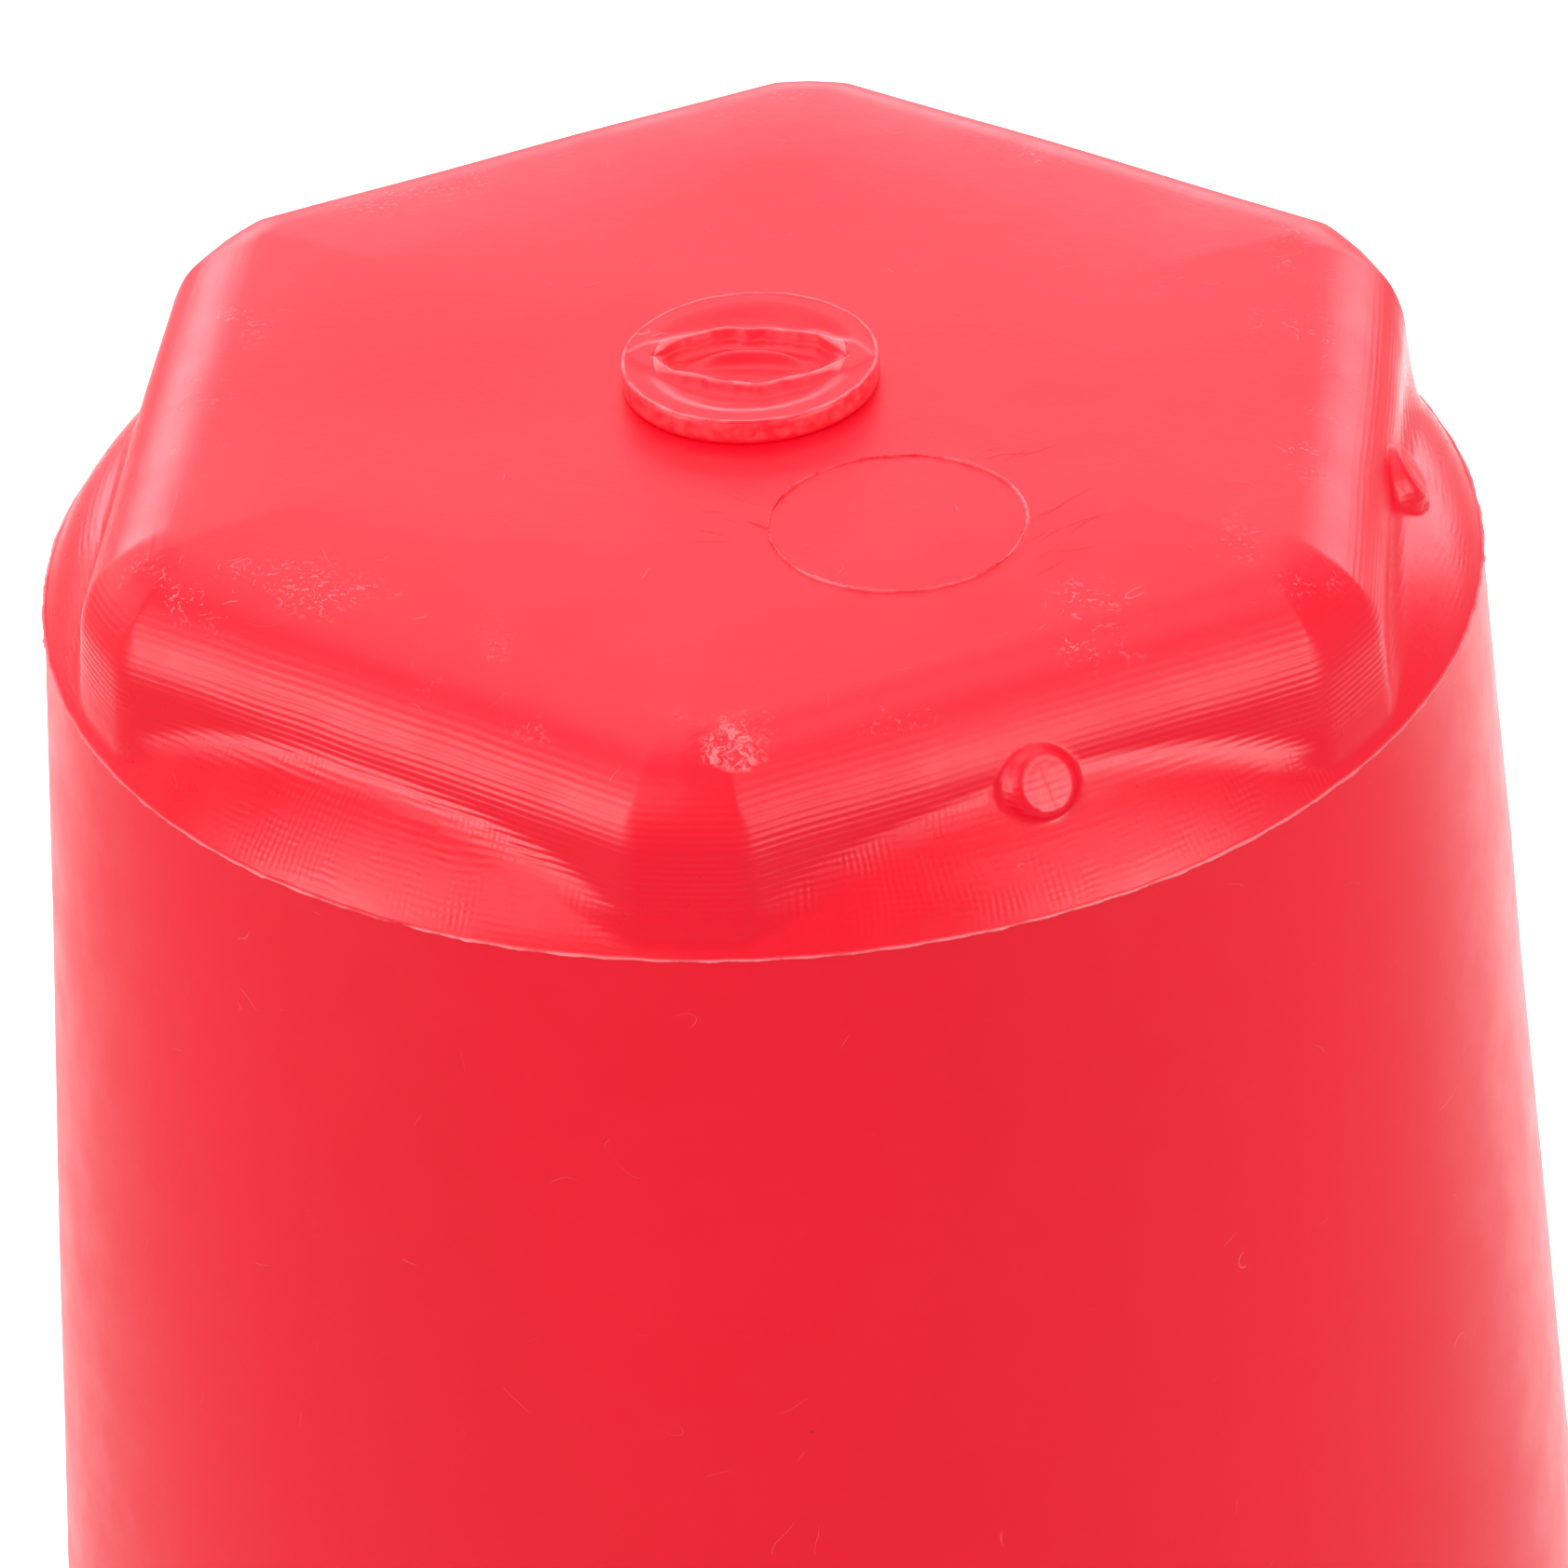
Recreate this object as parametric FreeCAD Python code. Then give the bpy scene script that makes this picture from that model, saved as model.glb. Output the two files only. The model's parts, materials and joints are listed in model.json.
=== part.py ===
import FreeCAD, Part
import math
import os

# Water filled barrier post: a rotomoulded tank with a hexagonal head, a round tapered column
# and a wide hexagonal foot. Millimetres, +Z up, origin on the floor under the column's axis.
# One corner of the head and of the foot points along -Y.

VEC = FreeCAD.Vector
UP = VEC(0, 0, 1)
OUTWARD = VEC(1, 0, 0)
SIDES = 6
HALF_SIDE_ANGLE = math.pi / SIDES

# Tank: overall sizes
PARTING_HEIGHT = 800.0        # mould line between column and head, above the floor
PARTING_RADIUS = 80.0
COLUMN_DRAFT = math.radians(4.1)
WALL = 4.0
SHELL_BOTTOM = 8.0            # underside of the tank, held up by the pads

# Head
HEAD_RISE = 23.0
HEAD_FLAT_INSET = 10.7        # of the flats' top edges, inside the mould line
HEAD_DRAFT = math.radians(6.0)
HEAD_CORNER_CUT = 3.07        # taken off the hexagon's sharp corners, measured from the axis
HEAD_EDGE_RADIUS = 10.0
SHOULDER_RADIUS = 24.0        # convex shoulder that runs up from the mould line to the flats
SHOULDER_START = math.radians(27.5)
SHOULDER_END = math.radians(75.0)
FLAT_BUMP_RADIUS = 4.3        # vent domes on the middle of two flats
FLAT_BUMP_HEIGHT = 9.5        # of their centres above the mould line
FLAT_BUMP_SIDES = (0, 1)      # flats counted from the one right of the -Y corner

# Foot
FOOT_ACROSS_FLATS = 420.0
FOOT_EDGE_HEIGHT = 62.0       # height of the top edge in the middle of a side
FOOT_DRAFT = math.radians(4.0)
FOOT_SLOPE = math.radians(20.0)
FOOT_CORNER_ROUND = 40.0
FOOT_COLUMN_BLEND = 18.0

# Filling hole and its push-in plug
FILL_BORE_RADIUS = 10.5
FILL_NECK_WALL = 5.5
FILL_NECK_DEPTH = 16.0
SEAL_THICKNESS = 1.5
SEAL_WIDTH = 2.3
PLUG_FLANGE_OVERLAP = 1.4     # of the flange past the seal's recess
PLUG_RIM_HEIGHT = 3.0
PLUG_RIM_WIDTH = 1.5
PLUG_DISH_DEPTH = 1.3
PLUG_STEM_LENGTH = 15.0
PLUG_STEM_WALL = 2.2
PLUG_GRIP_END_GAP = 1.2       # from the lens-shaped pinched grip to the rim
PLUG_GRIP_WIDTH = 11.4
PLUG_GRIP_WALL = 1.6

# Drain, in a pocket in the +X side of the foot
DRAIN_POCKET_DEPTH = 14.0     # of the pocket's floor, inside the foot's side at the floor
DRAIN_POCKET_WIDTH = 60.0
DRAIN_POCKET_ROOF = 4.0       # from the pocket up to the foot's top edge
DRAIN_AXIS_DROP = 23.0        # of the drain's axis, below the pocket's roof
DRAIN_BORE_RADIUS = 10.0
BUSH_WALL = 4.0               # at the flats; hexagonal, so that it can't turn in the moulding
BUSH_LENGTH = 14.0
BUSH_BOSS_WALL = 5.0
DRAIN_WASHER_WIDTH = 3.5
DRAIN_WASHER_THICKNESS = 2.0
DRAIN_HEAD_LEDGE = 2.0        # from the shank out to the head's flats
DRAIN_HEAD_THICKNESS = 6.0
DRAIN_GRIP_THICKNESS = 5.0
DRAIN_GRIP_HEIGHT = 5.0

# Reflective bands
BAND_WIDTH = 100.0
BAND_THICKNESS = 0.4
BAND_COLLAR_GAP = 20.0        # from the upper band up to the collar's liner
BAND_SPACING = 80.0           # between the two bands

# Link collar on its liner
COLLAR_DROP = 210.0           # from the mould line down to the liner's lower face
LINER_HEIGHT = 28.0
LINER_WALL = 5.0              # at its top edge
LINER_FLANGE_WIDTH = 7.0
LINER_FLANGE_THICKNESS = 4.0
RING_WALL = 8.0
RING_HEIGHT = 22.0
EYE_COUNT = 2
EYE_RADIUS = 15.0
EYE_BORE_RADIUS = 7.0
EYE_THICKNESS = 8.0
EYE_REACH = 26.0              # bore centre to the ring's outer face
EYE_TANG_WIDTH = 18.0
SOCKET_WALL = 5.0
SOCKET_LENGTH = 14.0
RIVET_RADIUS = 2.5
RIVET_HEAD_RADIUS = 4.5
RIVET_HEAD_HEIGHT = 2.0

# Feet
PAD_RADIUS = 20.0
PAD_SIDE_INSET = 47.2         # pad centres from the foot's sides, one under each corner
PAD_COUNTERBORE_RADIUS = 9.0
PAD_COUNTERBORE_DEPTH = 5.5
SCREW_RADIUS = 3.0
SCREW_HEAD_RADIUS = 5.5
SCREW_HEAD_HEIGHT = 3.2
SCREW_SOCKET_FLATS = 4.0
SCREW_SOCKET_DEPTH = 2.0
SCREW_REACH = 10.0            # into the insert
WASHER_RADIUS = 7.5
WASHER_THICKNESS = 1.2
INSERT_RADIUS = 6.0
INSERT_LENGTH = 14.0
INSERT_BOSS_WALL = 5.0

# Clearances, radial or per face
RUNNING_GAP = 0.05            # shafts, stems and screws in their holes
SLIP_GAP = 0.2                # rings and washers round a stem
SEAT_GAP = 0.3                # between the liner and the column

# Places and sizes that follow from the ones above
HEAD_APOTHEM = PARTING_RADIUS - HEAD_FLAT_INSET
HEAD_CORNER_RADIUS = HEAD_APOTHEM / math.cos(HALF_SIDE_ANGLE) - HEAD_CORNER_CUT
SEAL_OUTER_RADIUS = FILL_BORE_RADIUS + SEAL_WIDTH
PLUG_FLANGE_RADIUS = SEAL_OUTER_RADIUS + PLUG_FLANGE_OVERLAP
PLUG_GRIP_LENGTH = 2 * (PLUG_FLANGE_RADIUS - PLUG_RIM_WIDTH - PLUG_GRIP_END_GAP)
DRAIN_POCKET_FACE = FOOT_ACROSS_FLATS / 2 - DRAIN_POCKET_DEPTH
DRAIN_POCKET_TOP = FOOT_EDGE_HEIGHT - DRAIN_POCKET_ROOF
DRAIN_HEIGHT = DRAIN_POCKET_TOP - DRAIN_AXIS_DROP
BUSH_ACROSS_FLATS = 2 * (DRAIN_BORE_RADIUS + BUSH_WALL)
DRAIN_HEAD_ACROSS_FLATS = 2 * (DRAIN_BORE_RADIUS + DRAIN_HEAD_LEDGE)
COLLAR_SEAT_HEIGHT = PARTING_HEIGHT - COLLAR_DROP
BAND_UPPER_HEIGHT = COLLAR_SEAT_HEIGHT - BAND_COLLAR_GAP - BAND_WIDTH
BAND_LOWER_HEIGHT = BAND_UPPER_HEIGHT - BAND_SPACING - BAND_WIDTH
PAD_RING_RADIUS = (FOOT_ACROSS_FLATS / 2 - PAD_SIDE_INSET) / math.cos(HALF_SIDE_ANGLE)


def column_radius(height):
    return PARTING_RADIUS + (PARTING_HEIGHT - height) * math.tan(COLUMN_DRAFT)


def revolve(outline):
    """Solid of revolution about Z from a closed list of (radius, height) corners."""
    points = [VEC(radius, 0, height) for radius, height in outline]
    wire = Part.makePolygon(points + points[:1])
    return Part.Face(wire).revolve(VEC(0, 0, 0), UP, 360)


def cylinder(radius, low, high, x=0.0, y=0.0):
    return Part.makeCylinder(radius, high - low, VEC(x, y, low), UP)


def side_cylinder(radius, near, far):
    """Cylinder along +X on the drain's axis."""
    return Part.makeCylinder(radius, far - near, VEC(near, 0, DRAIN_HEIGHT), OUTWARD)


def tube(outer, inner, low, high, x=0.0, y=0.0):
    return cylinder(outer, low, high, x, y).cut(cylinder(inner, low - 1, high + 1, x, y))


def around(radius, index, offset=0.0):
    """Place on a circle: index 0 is the corner at -Y, and offset turns it in side pitches."""
    angle = 2 * HALF_SIDE_ANGLE * (index + offset)
    return radius * math.sin(angle), -radius * math.cos(angle)


def hexagon_wire(apothem, height):
    corner = apothem / math.cos(HALF_SIDE_ANGLE)
    points = [VEC(*around(corner, index), height) for index in range(SIDES)]
    return Part.makePolygon(points + points[:1])


def hexagon_prism(low_apothem, high_apothem, low, high):
    wires = [hexagon_wire(low_apothem, low), hexagon_wire(high_apothem, high)]
    return Part.makeLoft(wires, True, True)


def edges_where(shape, wanted):
    return [edge for edge in shape.Edges if wanted(edge)]


def is_upright(edge):
    low, high = edge.BoundBox.ZMin, edge.BoundBox.ZMax
    return len(edge.Vertexes) == 2 and high - low > 0.8 * edge.Length


def head_solid(inset):
    """Drafted hexagon with its corners cut back by a cone, both with a soft top edge."""
    top = PARTING_HEIGHT + HEAD_RISE - inset
    low = PARTING_HEIGHT
    apothem = HEAD_APOTHEM - inset
    spread = (top - low) * math.tan(HEAD_DRAFT)
    hexagon = hexagon_prism(apothem + spread, apothem, low, top)
    hexagon = hexagon.makeFillet(HEAD_EDGE_RADIUS, rim_edges(hexagon, top))
    corner_radius = HEAD_CORNER_RADIUS - inset
    cone = Part.makeCone(corner_radius + spread, corner_radius, top - low, VEC(0, 0, low), UP)
    cone = cone.makeFillet(HEAD_EDGE_RADIUS, rim_edges(cone, top))
    return hexagon.common(cone)


def rim_edges(shape, level):
    return edges_where(shape, lambda edge: edge.BoundBox.ZMin > level - 0.01)


def shoulder_solid(inset):
    """Dome-edged disc between the mould line and the flats of the head."""
    arc_radius = SHOULDER_RADIUS - inset
    centre_radius = PARTING_RADIUS - SHOULDER_RADIUS * math.cos(SHOULDER_START)
    centre_height = PARTING_HEIGHT - SHOULDER_RADIUS * math.sin(SHOULDER_START)

    def on_arc(angle):
        return VEC(centre_radius + arc_radius * math.cos(angle), 0,
                   centre_height + arc_radius * math.sin(angle))

    start, end = on_arc(SHOULDER_START), on_arc(SHOULDER_END)
    middle = on_arc((SHOULDER_START + SHOULDER_END) / 2)
    inner_low, inner_high = VEC(0, 0, start.z), VEC(0, 0, end.z)
    edges = [Part.makeLine(inner_low, start), Part.Arc(start, middle, end).toShape(),
             Part.makeLine(end, inner_high), Part.makeLine(inner_high, inner_low)]
    return Part.Face(Part.Wire(edges)).revolve(VEC(0, 0, 0), UP, 360)


def foot_solid(inset):
    """Hexagonal foot with rounded corners and a top that slopes up to the column."""
    low = SHELL_BOTTOM + inset
    high = FOOT_EDGE_HEIGHT + FOOT_ACROSS_FLATS / 4
    apothem = FOOT_ACROSS_FLATS / 2 - inset
    spread = (high - SHELL_BOTTOM) * math.tan(FOOT_DRAFT)
    hexagon = hexagon_prism(apothem, apothem - spread, low, high)
    corners = edges_where(hexagon, is_upright)
    hexagon = hexagon.makeFillet(FOOT_CORNER_ROUND - inset, corners)
    rise = FOOT_ACROSS_FLATS / 2 * math.tan(FOOT_SLOPE)
    drop = inset / math.cos(FOOT_SLOPE)
    edge = FOOT_ACROSS_FLATS / 2
    slope = revolve([(0, low), (2 * edge, low), (2 * edge, FOOT_EDGE_HEIGHT - rise - drop),
                     (0, FOOT_EDGE_HEIGHT + rise - drop)])
    return hexagon.common(slope)


def column_solid(inset):
    low = SHELL_BOTTOM + inset
    top = PARTING_HEIGHT - inset * math.sin(SHOULDER_START)
    return revolve([(0, low), (column_radius(low) - inset, low),
                    (column_radius(top) - inset, top), (0, top)])


def tank_solid(inset):
    """The tank's outer shape, or with an inset the water space inside its wall."""
    body = column_solid(inset).fuse(foot_solid(inset))
    blend = [edge for edge in body.Edges if is_column_foot_seam(edge)]
    body = body.makeFillet(FOOT_COLUMN_BLEND + inset, blend)
    return body.fuse([shoulder_solid(inset), head_solid(inset)])


def is_column_foot_seam(edge):
    box = edge.BoundBox
    level = box.ZMax - box.ZMin < 0.01
    return level and box.ZMin > FOOT_EDGE_HEIGHT and box.ZMax < 0.5 * PARTING_HEIGHT


def flat_bumps():
    """Small vent domes where the shoulder meets the middle of a flat."""
    height = PARTING_HEIGHT + FLAT_BUMP_HEIGHT
    reach = HEAD_APOTHEM + (HEAD_RISE - FLAT_BUMP_HEIGHT) * math.tan(HEAD_DRAFT)
    places = [around(reach, index, 0.5) for index in FLAT_BUMP_SIDES]
    return [Part.makeSphere(FLAT_BUMP_RADIUS, VEC(x, y, height)) for x, y in places]


def drain_pocket(grown):
    """Block that makes the drain's pocket; grown by the wall for the water side."""
    half = DRAIN_POCKET_WIDTH / 2 + grown
    low = SHELL_BOTTOM - 1
    near = DRAIN_POCKET_FACE - grown
    return Part.makeBox(FOOT_ACROSS_FLATS, 2 * half, DRAIN_POCKET_TOP + grown - low,
                        VEC(near, -half, low))


def side_hexagon(across_flats, near, far):
    """Hexagonal bar along +X on the drain's axis."""
    bar = hexagon_prism(across_flats / 2, across_flats / 2, 0, far - near)
    bar.rotate(VEC(0, 0, 0), VEC(0, 1, 0), 90)
    bar.translate(VEC(near, 0, DRAIN_HEIGHT))
    return bar


def drain_bush_blank():
    return side_hexagon(BUSH_ACROSS_FLATS, DRAIN_POCKET_FACE - BUSH_LENGTH, DRAIN_POCKET_FACE)


def insert_blank(index):
    x, y = around(PAD_RING_RADIUS, index)
    return cylinder(INSERT_RADIUS, SHELL_BOTTOM, SHELL_BOTTOM + INSERT_LENGTH, x, y)


def body_shell():
    top = PARTING_HEIGHT + HEAD_RISE
    outer = tank_solid(0).cut(drain_pocket(0))
    water = tank_solid(WALL).cut(drain_pocket(WALL))
    neck = cylinder(FILL_BORE_RADIUS + FILL_NECK_WALL, top - FILL_NECK_DEPTH, top)
    bush_boss = side_cylinder(BUSH_ACROSS_FLATS / 2 + BUSH_BOSS_WALL,
                              DRAIN_POCKET_FACE - BUSH_LENGTH, DRAIN_POCKET_FACE)
    bosses = [neck, bush_boss]
    for index in range(SIDES):
        x, y = around(PAD_RING_RADIUS, index)
        bosses.append(cylinder(INSERT_RADIUS + INSERT_BOSS_WALL, SHELL_BOTTOM,
                               SHELL_BOTTOM + INSERT_LENGTH + WALL, x, y))
    shell = outer.cut(water.cut(bosses[0].fuse(bosses[1:])))
    shell = shell.fuse(flat_bumps())
    shell = shell.cut(cylinder(FILL_BORE_RADIUS, top - 2 * FILL_NECK_DEPTH, top + 1))
    shell = shell.cut(cylinder(SEAL_OUTER_RADIUS, top - SEAL_THICKNESS, top + 1))
    shell = shell.cut(drain_bush_blank())
    for index in range(SIDES):
        shell = shell.cut(insert_blank(index))
    return shell


def fill_seal():
    top = PARTING_HEIGHT + HEAD_RISE
    return tube(SEAL_OUTER_RADIUS, FILL_BORE_RADIUS + SLIP_GAP, top - SEAL_THICKNESS, top)


def lens(length, width, low, high):
    """Upright prism on the area common to two equal discs."""
    half_length, half_width = length / 2, width / 2
    radius = (half_length ** 2 + half_width ** 2) / (2 * half_width)
    shift = radius - half_width
    return cylinder(radius, low, high, 0, shift).common(cylinder(radius, low, high, 0, -shift))


def fill_plug():
    top = PARTING_HEIGHT + HEAD_RISE
    rim = top + PLUG_RIM_HEIGHT
    dish = rim - PLUG_DISH_DEPTH
    stem_radius = FILL_BORE_RADIUS - RUNNING_GAP
    plug = cylinder(PLUG_FLANGE_RADIUS, top, rim)
    plug = plug.cut(cylinder(PLUG_FLANGE_RADIUS - PLUG_RIM_WIDTH, dish, rim + 1))
    grip = lens(PLUG_GRIP_LENGTH, PLUG_GRIP_WIDTH, dish, rim)
    hollow = lens(PLUG_GRIP_LENGTH - 4 * PLUG_GRIP_WALL, PLUG_GRIP_WIDTH - 2 * PLUG_GRIP_WALL,
                  dish, rim + 1)
    plug = plug.fuse(grip.cut(hollow))
    stem = tube(stem_radius, stem_radius - PLUG_STEM_WALL, top - PLUG_STEM_LENGTH, top)
    return plug.fuse(stem)


def drain_bush():
    bore = side_cylinder(DRAIN_BORE_RADIUS + RUNNING_GAP,
                         DRAIN_POCKET_FACE - 2 * BUSH_LENGTH, DRAIN_POCKET_FACE + 1)
    return drain_bush_blank().cut(bore)


def drain_washer():
    near, far = DRAIN_POCKET_FACE, DRAIN_POCKET_FACE + DRAIN_WASHER_THICKNESS
    disc = side_cylinder(DRAIN_BORE_RADIUS + DRAIN_WASHER_WIDTH, near, far)
    return disc.cut(side_cylinder(DRAIN_BORE_RADIUS + SLIP_GAP, near - 1, far + 1))


def drain_plug():
    seat = DRAIN_POCKET_FACE + DRAIN_WASHER_THICKNESS
    shank = side_cylinder(DRAIN_BORE_RADIUS, DRAIN_POCKET_FACE - BUSH_LENGTH, seat)
    head = side_hexagon(DRAIN_HEAD_ACROSS_FLATS, seat, seat + DRAIN_HEAD_THICKNESS)
    grip_length = DRAIN_HEAD_ACROSS_FLATS - DRAIN_GRIP_THICKNESS
    grip = Part.makeBox(DRAIN_GRIP_HEIGHT, DRAIN_GRIP_THICKNESS, grip_length,
                        VEC(seat + DRAIN_HEAD_THICKNESS, -DRAIN_GRIP_THICKNESS / 2,
                            DRAIN_HEIGHT - grip_length / 2))
    return shank.fuse([head, grip])


def reflective_band(low):
    high = low + BAND_WIDTH
    return revolve([(column_radius(low), low), (column_radius(low) + BAND_THICKNESS, low),
                    (column_radius(high) + BAND_THICKNESS, high), (column_radius(high), high)])


def liner_outer_radius():
    return column_radius(COLLAR_SEAT_HEIGHT + LINER_HEIGHT) + SEAT_GAP + LINER_WALL


def collar_liner():
    low, high = COLLAR_SEAT_HEIGHT, COLLAR_SEAT_HEIGHT + LINER_HEIGHT
    outer = liner_outer_radius()
    flange = outer + LINER_FLANGE_WIDTH
    step = low + LINER_FLANGE_THICKNESS
    return revolve([(column_radius(low) + SEAT_GAP, low), (flange, low), (flange, step),
                    (outer, step), (outer, high), (column_radius(high) + SEAT_GAP, high)])


def ring_low():
    return COLLAR_SEAT_HEIGHT + LINER_FLANGE_THICKNESS


def ring_outer_radius():
    return liner_outer_radius() + RUNNING_GAP + RING_WALL


def eye_low():
    return ring_low() + (RING_HEIGHT - EYE_THICKNESS) / 2


def eye_positions():
    step = 360.0 / EYE_COUNT
    return [step * index for index in range(EYE_COUNT)]


def turned(shape, angle):
    copy = shape.copy()
    copy.rotate(VEC(0, 0, 0), UP, angle)
    return copy


def eye_blank():
    """Flat eye with its tang, which ends inside the ring's socket."""
    low, high = eye_low(), eye_low() + EYE_THICKNESS
    centre = ring_outer_radius() + EYE_REACH
    tang = Part.makeBox(EYE_REACH, EYE_TANG_WIDTH, EYE_THICKNESS,
                        VEC(ring_outer_radius(), -EYE_TANG_WIDTH / 2, low))
    return tang.fuse(cylinder(EYE_RADIUS, low, high, centre))


def link_collar():
    low, high = ring_low(), ring_low() + RING_HEIGHT
    outer = ring_outer_radius()
    inner = liner_outer_radius() + RUNNING_GAP
    width = EYE_TANG_WIDTH + 2 * SOCKET_WALL
    socket = Part.makeBox(RING_WALL / 2 + SOCKET_LENGTH, width, RING_HEIGHT,
                          VEC(outer - RING_WALL / 2, -width / 2, low))
    ring = tube(outer, inner, low, high)
    for angle in eye_positions():
        ring = ring.fuse(turned(socket, angle))
        ring = ring.cut(turned(eye_blank(), angle))
        ring = ring.cut(turned(rivet_hole(), angle))
    return ring


def rivet_reach():
    return ring_outer_radius() + SOCKET_LENGTH / 2


def rivet_hole():
    low, high = ring_low(), ring_low() + RING_HEIGHT
    return cylinder(RIVET_RADIUS, low - 1, high + 1, rivet_reach())


def link_eyes():
    low, high = eye_low(), eye_low() + EYE_THICKNESS
    centre = ring_outer_radius() + EYE_REACH
    eye = eye_blank().cut(cylinder(EYE_BORE_RADIUS, low - 1, high + 1, centre))
    eye = eye.cut(rivet_hole())
    return Part.makeCompound([turned(eye, angle) for angle in eye_positions()])


def eye_rivets():
    low, high = ring_low(), ring_low() + RING_HEIGHT
    rivet = cylinder(RIVET_RADIUS, low, high, rivet_reach())
    heads = [cylinder(RIVET_HEAD_RADIUS, high, high + RIVET_HEAD_HEIGHT, rivet_reach()),
             cylinder(RIVET_HEAD_RADIUS, low - RIVET_HEAD_HEIGHT, low, rivet_reach())]
    rivet = rivet.fuse(heads)
    return Part.makeCompound([turned(rivet, angle) for angle in eye_positions()])


def per_corner(make_one):
    return Part.makeCompound([make_one(*around(PAD_RING_RADIUS, index))
                              for index in range(SIDES)])


def foot_pad(x, y):
    pad = tube(PAD_RADIUS, SCREW_RADIUS + SLIP_GAP, 0, SHELL_BOTTOM, x, y)
    return pad.cut(cylinder(PAD_COUNTERBORE_RADIUS, -1, PAD_COUNTERBORE_DEPTH, x, y))


def foot_washer(x, y):
    return tube(WASHER_RADIUS, SCREW_RADIUS + SLIP_GAP,
                PAD_COUNTERBORE_DEPTH - WASHER_THICKNESS, PAD_COUNTERBORE_DEPTH, x, y)


def foot_screw(x, y):
    seat = PAD_COUNTERBORE_DEPTH - WASHER_THICKNESS
    low = seat - SCREW_HEAD_HEIGHT
    screw = cylinder(SCREW_RADIUS, seat, SHELL_BOTTOM + SCREW_REACH, x, y)
    screw = screw.fuse(cylinder(SCREW_HEAD_RADIUS, low, seat, x, y))
    socket = hexagon_prism(SCREW_SOCKET_FLATS / 2, SCREW_SOCKET_FLATS / 2,
                           low - 1, low + SCREW_SOCKET_DEPTH)
    socket.translate(VEC(x, y, 0))
    return screw.cut(socket)


def foot_insert(x, y):
    blank = cylinder(INSERT_RADIUS, SHELL_BOTTOM, SHELL_BOTTOM + INSERT_LENGTH, x, y)
    depth = SCREW_REACH + 1
    return blank.cut(cylinder(SCREW_RADIUS + RUNNING_GAP, SHELL_BOTTOM - 1,
                              SHELL_BOTTOM + depth, x, y))


PARTS = {
    "body_shell": body_shell(),
    "fill_seal": fill_seal(),
    "fill_plug": fill_plug(),
    "drain_bush": drain_bush(),
    "drain_washer": drain_washer(),
    "drain_plug": drain_plug(),
    "reflective_band_upper": reflective_band(BAND_UPPER_HEIGHT),
    "reflective_band_lower": reflective_band(BAND_LOWER_HEIGHT),
    "collar_liner": collar_liner(),
    "link_collar": link_collar(),
    "link_eyes": link_eyes(),
    "eye_rivets": eye_rivets(),
    "foot_inserts": per_corner(foot_insert),
    "foot_pads": per_corner(foot_pad),
    "foot_washers": per_corner(foot_washer),
    "foot_screws": per_corner(foot_screw),
}

os.makedirs("parts", exist_ok=True)
for name, shape in PARTS.items():
    shape.exportStep("parts/" + name + ".step")
    solids = len(shape.Solids)
    litres = shape.Volume / 1e6
    print(name, "valid" if shape.isValid() else "NOT VALID", solids, "solids", round(litres, 4), "l")
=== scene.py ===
import json
import math
from collections import namedtuple

import bmesh
import bpy
import numpy as np
from mathutils import Matrix, Vector

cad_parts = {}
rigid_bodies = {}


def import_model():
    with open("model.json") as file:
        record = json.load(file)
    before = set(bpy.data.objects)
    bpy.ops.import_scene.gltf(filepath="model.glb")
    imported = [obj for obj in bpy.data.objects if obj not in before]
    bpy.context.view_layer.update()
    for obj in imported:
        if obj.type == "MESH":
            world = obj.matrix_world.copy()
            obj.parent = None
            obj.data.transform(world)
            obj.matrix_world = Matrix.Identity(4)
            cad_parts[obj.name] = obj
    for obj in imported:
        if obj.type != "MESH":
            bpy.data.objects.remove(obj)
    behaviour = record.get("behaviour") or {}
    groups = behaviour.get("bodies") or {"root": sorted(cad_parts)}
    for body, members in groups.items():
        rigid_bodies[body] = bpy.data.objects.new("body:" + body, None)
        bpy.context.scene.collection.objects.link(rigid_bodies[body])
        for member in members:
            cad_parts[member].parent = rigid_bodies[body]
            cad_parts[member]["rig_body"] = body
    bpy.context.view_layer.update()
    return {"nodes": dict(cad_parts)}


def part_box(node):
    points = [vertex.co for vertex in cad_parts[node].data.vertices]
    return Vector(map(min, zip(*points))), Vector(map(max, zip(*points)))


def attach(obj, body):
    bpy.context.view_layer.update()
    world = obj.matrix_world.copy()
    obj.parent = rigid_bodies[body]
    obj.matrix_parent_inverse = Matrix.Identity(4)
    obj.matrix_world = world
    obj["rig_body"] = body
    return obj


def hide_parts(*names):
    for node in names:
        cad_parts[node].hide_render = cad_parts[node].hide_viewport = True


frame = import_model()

# Sizes in this script are millimetres unless a name says otherwise; MM turns them into metres.
MM = 0.001
SEED = 7

# ---------------------------------------------------------------- sizes taken from the frame

PLUG_LOW, PLUG_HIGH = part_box("fill_plug")
LINER_LOW, LINER_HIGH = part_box("collar_liner")

TANK_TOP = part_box("body_shell")[1].z / MM
SEAM_HEIGHT = (LINER_LOW.z + LINER_HIGH.z) / 2 / MM    # where the detailed skin meets the CAD one
SEAL_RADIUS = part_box("fill_seal")[1].x / MM
PLUG_RADIUS = PLUG_HIGH.x / MM
PLUG_RISE = PLUG_HIGH.z / MM - TANK_TOP
PLUG_STEM_END = PLUG_LOW.z / MM

# ---------------------------------------------------------------- head and column

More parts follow.
